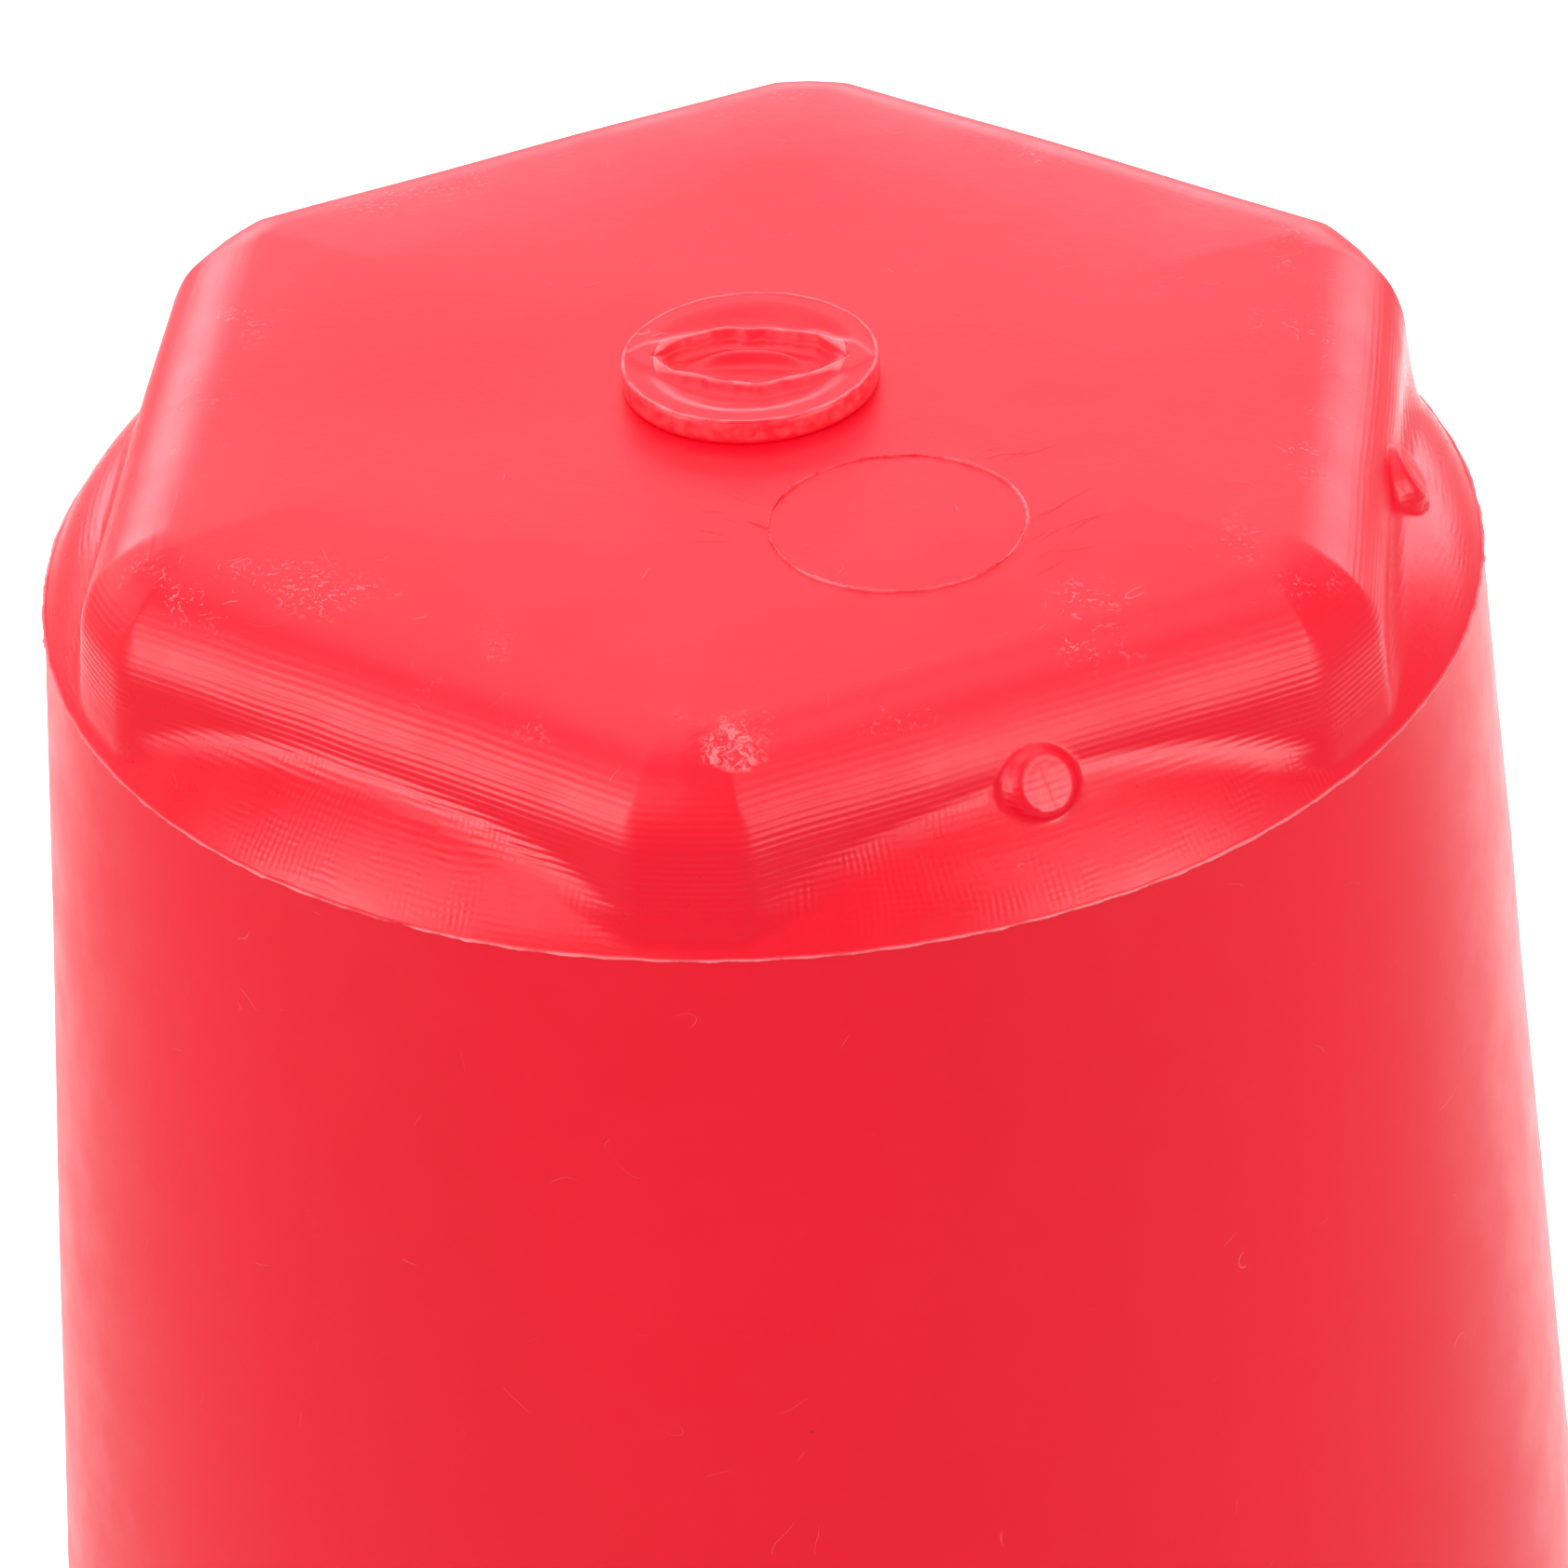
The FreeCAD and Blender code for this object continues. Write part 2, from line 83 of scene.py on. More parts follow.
SIDES = 6
WALL = 4.0
HEAD_RISE = 23.0
PARTING_HEIGHT = TANK_TOP - HEAD_RISE
PARTING_RADIUS = 80.0
COLUMN_DRAFT = math.radians(4.1)
FLAT_APOTHEM = 69.3                 # centre to a flat, at the top face
HEAD_DRAFT = math.radians(6.0)
CORNER_RADIUS = 76.95               # axis to a blunted corner, at the top face
TOP_EDGE_ROUND = 10.0
CORNER_EDGE_ROUND = 0.55            # near the mould line
CORNER_EDGE_SWELL = 3.2             # how many times that is added towards the top
CROWN = 0.0020                      # the top face's fall, per square millimetre
CROWN_START = 40.0                  # the top face is flat inside this reach
ARCH_ROUND = 1.8                    # hollow where the shoulder runs into a flat
SHOULDER_RADIUS = 24.0
SHOULDER_START = math.radians(27.5)
BUMP_RADIUS = 4.8                   # vent domes on two of the flats
BUMP_HEIGHT = 9.5
BUMP_SUNK = 1.0                     # how far a dome's centre lies behind its flat
BUMP_SIDES = (0, 1)
BUMP_FACE = (0.10, 0.86, 0.50)      # which way a dome's flat face looks: sideways, out and up
BUMP_FACE_DISTANCE = 3.55
WAVINESS = 0.10                     # how far the moulded surface strays from true

WITNESS_DISTANCE = 35.3             # centre of the round mark on the top face, from the axis
WITNESS_AZIMUTH = math.radians(32.0)
WITNESS_RADIUS = 13.9
KNOCK_PLACE = (4.5, -70.0, PARTING_HEIGHT + 20.0)

SEGMENTS = 672
PIVOT_RADIUS = 50.0                 # rays fan out from this circle towards the head's edge
PIVOT_HEIGHT = 2.0                  # above the mould line
CORNER_EDGE_OFF = 4.4               # degrees from a corner's middle to either of its edges
TOP_RINGS = 9
EDGE_ANGLE = 52.0                   # rays steeper than this, in degrees, meet the flat top
LONGEST_RAY = 70.0
HALVINGS = 26


def side_azimuths():
    """Which way each side of the head faces; 0 is the front, and angles grow to the right."""
    return [math.pi / SIDES * (2 * index + 1) for index in range(SIDES)]


def round_cut(first, second, radius):
    """Distance to the overlap of two shapes, with the edge between them rounded."""
    corner = np.hypot(np.maximum(first + radius, 0), np.maximum(second + radius, 0))
    return np.minimum(np.maximum(first, second), -radius) + corner


def round_join(first, second, radius):
    """Distance to two shapes together, with the hollow between them rounded."""
    corner = np.hypot(np.maximum(radius - first, 0), np.maximum(radius - second, 0))
    return np.maximum(np.minimum(first, second), radius) - corner


def smooth_step(low, high, value):
    share = np.clip((value - low) / (high - low), 0, 1)
    return share * share * (3 - 2 * share)


def plane_waves(count, shortest, longest):
    """Random slow waves; each is a direction with a wave number, and a phase."""
    source = np.random.default_rng(SEED)
    waves = []
    for _ in range(count):
        direction = source.normal(size=3)
        direction /= np.linalg.norm(direction)
        length = source.uniform(shortest, longest)
        waves.append((direction * 2 * math.pi / length, source.uniform(0, 2 * math.pi)))
    return waves


WAVES = plane_waves(count=9, shortest=22.0, longest=70.0)


def waviness(x, y, z):
    """How far the skin strays from true; nothing at the plug, the seam and the mould line."""
    total = sum(np.sin(k[0] * x + k[1] * y + k[2] * z + phase) for k, phase in WAVES)
    away_from_plug = smooth_step(SEAL_RADIUS + 2, SEAL_RADIUS + 12, np.hypot(x, y))
    away_from_seam = smooth_step(SEAM_HEIGHT, SEAM_HEIGHT + 40, z + PARTING_HEIGHT)
    away_from_line = smooth_step(0.3, 4.0, np.abs(z))
    return WAVINESS * total / 3 * away_from_plug * away_from_seam * away_from_line


def side_reach(x, y):
    """How far out a place lies towards the nearest side."""
    return np.max([x * math.sin(a) - y * math.cos(a) for a in side_azimuths()], axis=0)


def crown(reach):
    """How much the top face falls away towards its edges."""
    return CROWN * np.maximum(reach - CROWN_START, 0) ** 2


def tank_distance(x, y, z):
    """Signed distance to the tank's outside; z is counted from the mould line."""
    radius = np.hypot(x, y)
    fall = HEAD_RISE - z
    apothem = FLAT_APOTHEM + fall * math.tan(HEAD_DRAFT)
    reach = side_reach(x, y)
    flats = (reach - apothem) * math.cos(HEAD_DRAFT)
    corners = (radius - CORNER_RADIUS - fall * math.tan(HEAD_DRAFT)) * math.cos(HEAD_DRAFT)
    top = z - HEAD_RISE + crown(reach)
    corner_round = CORNER_EDGE_ROUND * (1 + CORNER_EDGE_SWELL * smooth_step(11, 21, z))
    head = round_cut(round_cut(flats, corners, corner_round), top, TOP_EDGE_ROUND)
    head = np.maximum(head, -z)

    centre_radius = PARTING_RADIUS - SHOULDER_RADIUS * math.cos(SHOULDER_START)
    centre_height = -SHOULDER_RADIUS * math.sin(SHOULDER_START)
    outward = np.maximum(radius - centre_radius, 0)
    shoulder = np.hypot(outward, z - centre_height) - SHOULDER_RADIUS
    column = (radius - PARTING_RADIUS + z * math.tan(COLUMN_DRAFT)) * math.cos(COLUMN_DRAFT)
    body = np.where(z < 0, column, shoulder)

    hollow = ARCH_ROUND * smooth_step(0.5, 5.0, z) + 1e-3
    surface = round_join(head, body, hollow)
    for side in BUMP_SIDES:
        surface = round_join(surface, bump_distance(x, y, z, side_azimuths()[side]), 0.2)
    return surface - waviness(x, y, z)


def bump_distance(x, y, z, azimuth):
    """A vent dome: a ball with a slanted flat face that carries two fine creases."""
    reach = FLAT_APOTHEM + (HEAD_RISE - BUMP_HEIGHT) * math.tan(HEAD_DRAFT)
    out = x * math.sin(azimuth) - y * math.cos(azimuth) - reach + BUMP_SUNK
    side = x * math.cos(azimuth) + y * math.sin(azimuth)
    rise = z - BUMP_HEIGHT
    ball = np.sqrt(out ** 2 + side ** 2 + rise ** 2) - BUMP_RADIUS
    sideways, outward, tilt = BUMP_FACE
    face = sideways * side + outward * out + tilt * rise - BUMP_FACE_DISTANCE
    across, upward = side - 0.4, outward * rise - tilt * out
    ring = np.exp(-((np.hypot(across, upward) - 2.5) / 0.22) ** 2)
    ring = ring * smooth_step(-0.5, 1.5, upward - across)
    scar = np.exp(-((across - 0.1 + 0.15 * upward) / 0.20) ** 2) * smooth_step(2.4, 1.6, upward)
    return round_cut(ball, face + 0.10 * ring + 0.07 * scar, 0.35)


def ring_azimuths():
    """Azimuths round the head, closer together at the corners' edges and at the vent domes."""
    fine = np.linspace(0, 360, 36001)
    one_side = 360 / SIDES
    from_corner = np.abs((fine + one_side / 2) % one_side - one_side / 2)
    density = 1 + 3.0 * np.exp(-((from_corner - CORNER_EDGE_OFF) / 0.7) ** 2)
    for azimuth in np.degrees(side_azimuths())[list(BUMP_SIDES)]:
        density += 1.6 * np.exp(-((fine - azimuth) / 3.2) ** 4)
    travel = np.concatenate([[0], np.cumsum((density[1:] + density[:-1]) / 2)])
    shares = np.arange(SEGMENTS) / SEGMENTS
    return np.radians(np.interp(shares, travel / travel[-1], fine))


def ring_rays():
    """Start and direction, in one upright half-plane, of the rays of every ring of the skin."""
    rays = [(radius, PIVOT_HEIGHT, 0.0, 1.0)
            for radius in np.linspace(SEAL_RADIUS, PIVOT_RADIUS, TOP_RINGS)]
    for angle in np.radians(np.concatenate([np.linspace(90, EDGE_ANGLE, 15)[1:],
                                            np.linspace(EDGE_ANGLE, 0, 75)[1:]])):
        rays.append((PIVOT_RADIUS, PIVOT_HEIGHT, math.cos(angle), math.sin(angle)))
    near_line = [1.5, 1.0, 0.6, 0.3, 0.12, 0.0, -0.12, -0.3, -0.6, -1.2, -2.4, -5.0]
    seam = SEAM_HEIGHT - PARTING_HEIGHT
    down_column = list(np.linspace(near_line[-1], seam, 12)[1:])
    rays += [(PIVOT_RADIUS, height, 1.0, 0.0) for height in near_line + down_column]
    return np.array(rays)


def skin_points():
    """Where each ray leaves the tank, found by halving; rings by segments by x, y, z."""
    rays = ring_rays()
    azimuth = ring_azimuths()
    start_r, start_z, step_r, step_z = (rays[:, i, None] for i in range(4))

    def place(travel):
        radius, height = start_r + travel * step_r, start_z + travel * step_z
        return radius * np.sin(azimuth), -radius * np.cos(azimuth), height + 0 * radius

    inside = np.zeros((len(rays), SEGMENTS))
    outside = np.full((len(rays), SEGMENTS), LONGEST_RAY)
    for _ in range(HALVINGS):
        middle = (inside + outside) / 2
        is_in = tank_distance(*place(middle)) < 0
        inside = np.where(is_in, middle, inside)
        outside = np.where(is_in, outside, middle)
    x, y, z = place(inside)
    return np.stack([x, y, z + PARTING_HEIGHT], axis=-1)


# ---------------------------------------------------------------- mesh helpers

UPWARD = np.array([0.0, 0.0, 1.0])


def add_grid(mesh, points, closed=True, flip=False):
    """Adds rings of points to a bmesh and joins each ring to the next with quads."""
    rows, columns = points.shape[:2]
    verts = [[mesh.verts.new(points[row, column] * MM) for column in range(columns)]
             for row in range(rows)]
    last = columns if closed else columns - 1
    for row in range(rows - 1):
        for column in range(last):
            after = (column + 1) % columns
            corners = [verts[row][column], verts[row + 1][column],
                       verts[row + 1][after], verts[row][after]]
            face = mesh.faces.new(corners[::-1] if flip else corners)
            face.smooth = True
    return verts


def add_loop_ridge(mesh, path, outward, upward, half_width, height):
    """A closed ridge along a closed path: a rounded crest on a foot sunk in the surface."""
    sink = 0.12
    sections = [(-half_width, -sink), (-half_width * 0.45, height * 0.8), (0.0, height),
                (half_width * 0.45, height * 0.8), (half_width, -sink)]
    rings = [path + upward * across[..., None] + outward * np.asarray(rise)[..., None]
             for across, rise in [(np.broadcast_to(a, len(path)), np.broadcast_to(b, len(path)))
                                  for a, b in sections]]
    rings.append(rings[0])
    add_grid(mesh, np.stack(rings), closed=True)


def finished(name, mesh, body, material, crease_angle):
    """Turns a bmesh into a smooth-shaded object that rides on a body and wears a material."""
    bmesh.ops.remove_doubles(mesh, verts=mesh.verts, dist=1e-6)
    data = bpy.data.meshes.new(name)
    mesh.to_mesh(data)
    mesh.free()
    data.materials.append(material)
    for polygon in data.polygons:
        polygon.use_smooth = True
    data.set_sharp_from_angle(angle=math.radians(crease_angle))
    piece = bpy.data.objects.new(name, data)
    bpy.context.scene.collection.objects.link(piece)
    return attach(piece, body)


def ragged(count, roughness, seed):
    """A repeatable, closed row of values about 1: smooth waves with fine jitter."""
    source = np.random.default_rng(seed)
    turn = np.arange(count) * 2 * math.pi / count
    value = np.ones(count)
    for harmonic in (3, 7, 13, 29, 61, 97):
        value += 0.16 * np.sin(harmonic * turn + source.uniform(0, 2 * math.pi))
    return np.clip(value + source.normal(size=count) * roughness, 0.05, 2.0)


# ---------------------------------------------------------------- materials

def add_node(tree, kind, inputs=None, **settings):
    """Adds a node; inputs maps socket names or numbers to values or to other nodes' outputs."""
    made = tree.nodes.new(kind)
    for key, value in settings.items():
        setattr(made, key, value)
    for key, value in (inputs or {}).items():
        if isinstance(value, bpy.types.NodeSocket):
            tree.links.new(value, made.inputs[key])
        else:
            made.inputs[key].default_value = value
    return made


def maths(tree, operation, *values):
    made = add_node(tree, "ShaderNodeMath", dict(enumerate(values)), operation=operation)
    return made.outputs[0]


def noise(tree, where, scale, detail=3.0, roughness=0.5, distortion=0.0):
    inputs = {"Vector": where, "Scale": scale, "Detail": detail,
              "Roughness": roughness, "Distortion": distortion}
    return add_node(tree, "ShaderNodeTexNoise", inputs).outputs[0]


def band(tree, value, low, high, soft):
    """1 between low and high, 0 outside, with soft ends."""
    rise = add_node(tree, "ShaderNodeMapRange", {0: value, 1: low - soft, 2: low + soft})
    fall = add_node(tree, "ShaderNodeMapRange", {0: value, 1: high + soft, 2: high - soft})
    return maths(tree, "MULTIPLY", rise.outputs[0], fall.outputs[0])


def blend_colour(tree, share, first, second):
    """The first colour where the share is 0 and the second where it is 1."""
    mix = add_node(tree, "ShaderNodeMix", {0: share, 6: first, 7: second}, data_type="RGBA")
    return mix.outputs[2]


def remap(tree, value, low, high, new_low, new_high):
    """Stretches low to high onto new_low to new_high, and holds still outside."""
    inputs = {0: value, 1: low, 2: high, 3: new_low, 4: new_high}
    return add_node(tree, "ShaderNodeMapRange", inputs).outputs[0]


def new_material(name, **shader_values):
    """A material with its main shader; returns the material, its tree and the shader."""
    material = bpy.data.materials.new(name)
    material.use_nodes = True
    tree = material.node_tree
    shader = tree.nodes["Principled BSDF"]
    for key, value in shader_values.items():
        shader.inputs[key.replace("_", " ")].default_value = value
    return material, tree, shader


def object_position(tree):
    return add_node(tree, "ShaderNodeTexCoord").outputs["Object"]


def bump(tree, height, depth_mm, below=None):
    """A bump of a depth in millimetres, on top of the one below it."""
    inputs = {"Height": height, "Strength": 1.0, "Distance": depth_mm * MM}
    if below is not None:
        inputs["Normal"] = below
    return add_node(tree, "ShaderNodeBump", inputs).outputs[0]


def thin_lines(tree, value, half_width):
    """1 on the middle contour of a noise, falling to 0 beside it."""
    away = maths(tree, "ABSOLUTE", maths(tree, "SUBTRACT", value, 0.5))
    return remap(tree, away, 0.0, half_width, 1.0, 0.0)


def ripples(tree, value, pitch_mm):
    return maths(tree, "SINE", maths(tree, "MULTIPLY", value, 2 * math.pi / (pitch_mm * MM)))


def product(tree, *values):
    result = values[0]
    for value in values[1:]:
        result = maths(tree, "MULTIPLY", result, value)
    return result


def strongest(tree, *values):
    result = values[0]
    for value in values[1:]:
        result = maths(tree, "MAXIMUM", result, value)
    return result


def patches(tree, where, scale, low, high, least=0.0, most=1.0, detail=3.0):
    """Soft-edged patches from a noise: least where it is under low, most where over high."""
    return remap(tree, noise(tree, where, scale, detail=detail), low, high, least, most)


def scattered_dots(tree, where, scale, channel, core, rim):
    """Small dots in one cell out of twenty; channel picks which cells."""
    cells = add_node(tree, "ShaderNodeTexVoronoi", {"Vector": where, "Scale": scale})
    chance = add_node(tree, "ShaderNodeSeparateColor", {0: cells.outputs["Color"]})
    dots = remap(tree, cells.outputs["Distance"], core, rim, 1.0, 0.0)
    return product(tree, dots, maths(tree, "GREATER_THAN", chance.outputs[channel], 0.95))


# ---------------------------------------------------------------- the tank's plastic

RED = (0.93, 0.0030, 0.024, 1.0)
RED_DEEP = (0.89, 0.0022, 0.020, 1.0)
# paler red for real scuffs and dust, and also for painted highlights on the flash, the ring and
# the plug
RED_WORN_AND_LIT = (0.98, 0.20, 0.22, 1.0)
SPECK_BROWN = (0.30, 0.01, 0.015, 1.0)

GROOVE_PITCH = 0.73
ROW_PITCH = 0.62
RADIAL_STROKES = 640.0              # strokes in one radian round the shoulder
LIP_REACH = 10.6                    # the plug's lips lie inside this radius

# Sockets that the marks on the plastic share: the place itself, the distance from the axis, the
# height, how far the surface looks up, the azimuth, the place along the nearest side, the
# distance out towards it, and a slow patchiness.
Ground = namedtuple("Ground", "tree where radius height up azimuth along reach patchy")


def plastic_ground(tree):
    where = object_position(tree)
    axes = add_node(tree, "ShaderNodeSeparateXYZ", {0: where}).outputs
    facing = add_node(tree, "ShaderNodeNewGeometry").outputs["Normal"]
    up = add_node(tree, "ShaderNodeSeparateXYZ", {0: facing}).outputs[2]
    radius = maths(tree, "SQRT", maths(tree, "ADD", product(tree, axes[0], axes[0]),
                                       product(tree, axes[1], axes[1])))
    azimuth = maths(tree, "ARCTAN2", axes[0], maths(tree, "MULTIPLY", axes[1], -1.0))
    one_side = 2 * math.pi / SIDES
    from_side = maths(tree, "SUBTRACT", maths(tree, "FLOORED_MODULO", azimuth, one_side),
                      one_side / 2)
    along = product(tree, radius, maths(tree, "SINE", from_side))
    reach = product(tree, radius, maths(tree, "COSINE", from_side))
    patchy = patches(tree, where, 38.0, 0.35, 0.65, least=0.1)
    return Ground(tree, where, radius, axes[2], up, azimuth, along, reach, patchy)


def over_line(ground, low, high, soft):
    """1 between two heights counted from the mould line."""
    return band(ground.tree, ground.height, (PARTING_HEIGHT + low) * MM,
                (PARTING_HEIGHT + high) * MM, soft * MM)


def tooling_grooves(ground):
    """Fine grooves of the mould that run level round the flats."""
    tree = ground.tree
    wander = noise(tree, ground.where, 60.0, detail=1.0)
    level = maths(tree, "ADD", ground.height, maths(tree, "MULTIPLY", wander, 0.5 * MM))
    steep = band(tree, ground.up, -0.2, 0.74, 0.10)
    return product(tree, ripples(tree, level, GROOVE_PITCH), over_line(ground, 6.0, 20.0, 2.0),
                   steep, ground.patchy)


def drag_marks(ground):
    """Drag marks along the sides, most of all over the rounded top edge."""
    tree = ground.tree
    stretch = add_node(tree, "ShaderNodeCombineXYZ", {
        0: maths(tree, "MULTIPLY", ground.along, 28.0),
        1: maths(tree, "MULTIPLY", ground.reach, 900.0),
        2: maths(tree, "MULTIPLY", ground.height, 900.0)}).outputs[0]
    drags = noise(tree, stretch, 1.0, roughness=0.6)
    over_edge = band(tree, ground.reach, 58.0 * MM, 76.0 * MM, 3.0 * MM)
    places = patches(tree, ground.where, 24.0, 0.42, 0.62, least=0.15, detail=2.0)
    return product(tree, drags, over_edge, over_line(ground, 1.0, 40.0, 0.5), places)


def shoulder_hatching(ground):
    """The shoulders were finished by hand: uneven rows round them and short strokes across."""
    tree, where = ground.tree, ground.where
    rows_wander = maths(tree, "MULTIPLY", noise(tree, where, 130.0, detail=2.0), 1.3 * MM)
    rows = ripples(tree, maths(tree, "ADD", ground.height, rows_wander), ROW_PITCH)
    sway = maths(tree, "MULTIPLY", noise(tree, where, 120.0, detail=2.0), 0.022)
    turn = maths(tree, "ADD", ground.azimuth, sway)
    radial = maths(tree, "SINE", maths(tree, "MULTIPLY", turn, RADIAL_STROKES))
    broken = patches(tree, where, 210.0, 0.42, 0.60, detail=2.0)
    dashes = patches(tree, where, 330.0, 0.45, 0.58, least=0.15, detail=2.0)
    hatch = maths(tree, "ADD", product(tree, rows, dashes, 0.9),
                  product(tree, radial, broken, ground.patchy, 0.7))
    sloped = band(tree, ground.up, 0.30, 0.95, 0.10)
    return product(tree, hatch, over_line(ground, 0.8, 11.0, 0.8), sloped, ground.patchy)


def edge_scuffs(ground):
    """Rubbed places along the top edge: curly scratches and fine speckle in sparse patches."""
    tree, where = ground.tree, ground.where
    near_edge = band(tree, ground.reach, 56.0 * MM, 80.0 * MM, 4.0 * MM)
    places = patches(tree, where, 62.0, 0.49, 0.62)
    curls = thin_lines(tree, noise(tree, where, 260.0, detail=1.0, distortion=0.5), 0.014)
    scratches = product(tree, curls, patches(tree, where, 640.0, 0.54, 0.60, most=0.8))
    speckle = product(tree, patches(tree, where, 1700.0, 0.57, 0.66, detail=2.0),
                      patches(tree, where, 150.0, 0.48, 0.58, most=0.9, detail=2.0))
    return product(tree, strongest(tree, scratches, speckle), places,
                   over_line(ground, 19.0, 23.3, 1.0), near_edge)


def corner_knock(ground):
    """One harder knock at the front corner."""
    tree, where = ground.tree, ground.where
    centre = tuple(value * MM for value in KNOCK_PLACE)
    away = add_node(tree, "ShaderNodeVectorMath", {0: where, 1: centre},
                    operation="DISTANCE").outputs["Value"]
    wander = maths(tree, "MULTIPLY", noise(tree, where, 240.0), 6.0 * MM)
    zone = remap(tree, maths(tree, "ADD", away, wander), 5.4 * MM, 6.6 * MM, 1.0, 0.0)
    strokes = noise(tree, where, 1100.0, detail=4.0, roughness=0.7, distortion=1.5)
    return product(tree, zone, remap(tree, strokes, 0.46, 0.56, 0.0, 1.0))


def loose_scratches(ground):
    tree, where = ground.tree, ground.where
    contours = noise(tree, where, 95.0, detail=1.0, distortion=0.4)
    return product(tree, thin_lines(tree, contours, 0.0022),
                   patches(tree, where, 170.0, 0.64, 0.68, detail=1.0))


def painted_flash_highlight(ground):
    """Painted highlight on the mould line's thin flash: a paler colour where it stands proud."""
    proud = remap(ground.tree, ground.radius, (PARTING_RADIUS + 0.04) * MM,
                  (PARTING_RADIUS + 0.22) * MM, 0.0, 1.0)
    return product(ground.tree, over_line(ground, -0.45, 0.45, 0.08), proud, 0.85)


def painted_ring_highlight(ground):
    """Painted highlight on the raised ring on the top face: a paler colour along it."""
    tree = ground.tree
    centre = (WITNESS_DISTANCE * math.sin(WITNESS_AZIMUTH) * MM,
              -WITNESS_DISTANCE * math.cos(WITNESS_AZIMUTH) * MM, TANK_TOP * MM)
    away = add_node(tree, "ShaderNodeVectorMath", {0: ground.where, 1: centre},
                    operation="DISTANCE").outputs["Value"]
    on_ring = band(tree, away, (WITNESS_RADIUS - 0.2) * MM, (WITNESS_RADIUS + 0.2) * MM,
                   0.06 * MM)
    return product(tree, on_ring, patches(tree, ground.where, 110.0, 0.40, 0.60), 0.80)


def painted_plug_highlight_and_pale_wall(ground):
    """Painted highlights on the plug's rim and lips, and paler patches on its side wall."""
    tree, where = ground.tree, ground.where
    rise = (TANK_TOP + PLUG_RISE) * MM
    on_rim = band(tree, ground.radius, (PLUG_RADIUS - 0.42) * MM, (PLUG_RADIUS - 0.02) * MM,
                  0.06 * MM)
    high = remap(tree, ground.height, rise - 0.30 * MM, rise - 0.12 * MM, 0.0, 1.0)
    on_lip = product(tree, high, maths(tree, "LESS_THAN", ground.radius, LIP_REACH * MM))
    # painted highlight on the rim and on the lips' crests
    painted_crest_highlight = product(tree, strongest(tree, product(tree, on_rim, high), on_lip),
                   patches(tree, where, 400.0, 0.35, 0.60, least=0.15), 0.78)
    on_wall = product(tree, band(tree, ground.height, (TANK_TOP + 0.5) * MM, rise, 0.2 * MM),
                      maths(tree, "GREATER_THAN", ground.radius, (PLUG_RADIUS - 0.05) * MM),
                      patches(tree, where, 900.0, 0.35, 0.65, least=0.08, most=0.36))
    return strongest(tree, painted_crest_highlight, on_wall)


def tank_plastic():
    """Satin red polyethylene with mould tooling marks, scuffs, scratches, dust and specks, and
    painted highlights on the thin flash, the raised ring and the plug's rim and lips.
    """
    material, tree, shader = new_material(
        "tank_plastic", IOR=1.45, Subsurface_Weight=0.08,
        Subsurface_Radius=(1.0, 0.2, 0.2), Subsurface_Scale=2.0 * MM)
    ground = plastic_ground(tree)
    where = ground.where
    worn = strongest(tree, edge_scuffs(ground), corner_knock(ground))
    lone = loose_scratches(ground)
    dust = scattered_dots(tree, where, 210.0, 1, 0.020, 0.042)
    specks = scattered_dots(tree, where, 95.0, 0, 0.018, 0.030)

    drift = patches(tree, where, 9.0, 0.35, 0.65, detail=2.0)
    colour = blend_colour(tree, drift, RED, RED_DEEP)
    # paler colour for real scuffs, scratches and dust, and painted highlights on the flash, the
    # ring and the plug's crests
    wear_and_painted_highlight = strongest(tree, product(tree, worn, 0.90), product(tree, lone, 0.45),
                     product(tree, dust, 0.5), painted_flash_highlight(ground), painted_ring_highlight(ground),
                     painted_plug_highlight_and_pale_wall(ground))
    colour = blend_colour(tree, wear_and_painted_highlight, colour, RED_WORN_AND_LIT)
    colour = blend_colour(tree, product(tree, specks, 0.7), colour, SPECK_BROWN)

    mottle = noise(tree, where, 140.0, detail=4.0, roughness=0.6)
    grain = noise(tree, where, 1400.0, detail=2.0)
    normal = None
    for height, depth_mm in ((mottle, 0.05), (grain, 0.013), (tooling_grooves(ground), 0.018),
                             (drag_marks(ground), 0.065), (shoulder_hatching(ground), 0.014),
                             (worn, 0.04), (lone, 0.02)):
        normal = bump(tree, height, depth_mm, normal)

    polish = product(tree, over_line(ground, 1.0, 12.0, 1.5), -0.08)
    rough = maths(tree, "ADD", remap(tree, mottle, 0.3, 0.7, 0.33, 0.41), polish)
    rough = maths(tree, "ADD", rough, maths(tree, "MULTIPLY", worn, 0.2))
    tree.links.new(colour, shader.inputs["Base Color"])
    tree.links.new(rough, shader.inputs["Roughness"])
    tree.links.new(normal, shader.inputs["Normal"])
    return material


# ---------------------------------------------------------------- the other materials

def soft_material(name, colour, dark, rough, grain_per_m, grain_mm, metallic=0.0):
    """Plain moulded, rubber or metal finish with mottled colour, grain and worn roughness."""
    material, tree, shader = new_material(name, Metallic=metallic)
    where = object_position(tree)
    mottle = noise(tree, where, grain_per_m / 12, detail=4.0, roughness=0.6)
    grain = noise(tree, where, grain_per_m, detail=3.0)
    share = remap(tree, mottle, 0.35, 0.65, 0.0, 1.0)
    tree.links.new(blend_colour(tree, share, colour, dark), shader.inputs["Base Color"])
    tree.links.new(remap(tree, mottle, 0.3, 0.7, rough - 0.06, rough + 0.08),
                   shader.inputs["Roughness"])
    tree.links.new(bump(tree, grain, grain_mm), shader.inputs["Normal"])
    return material


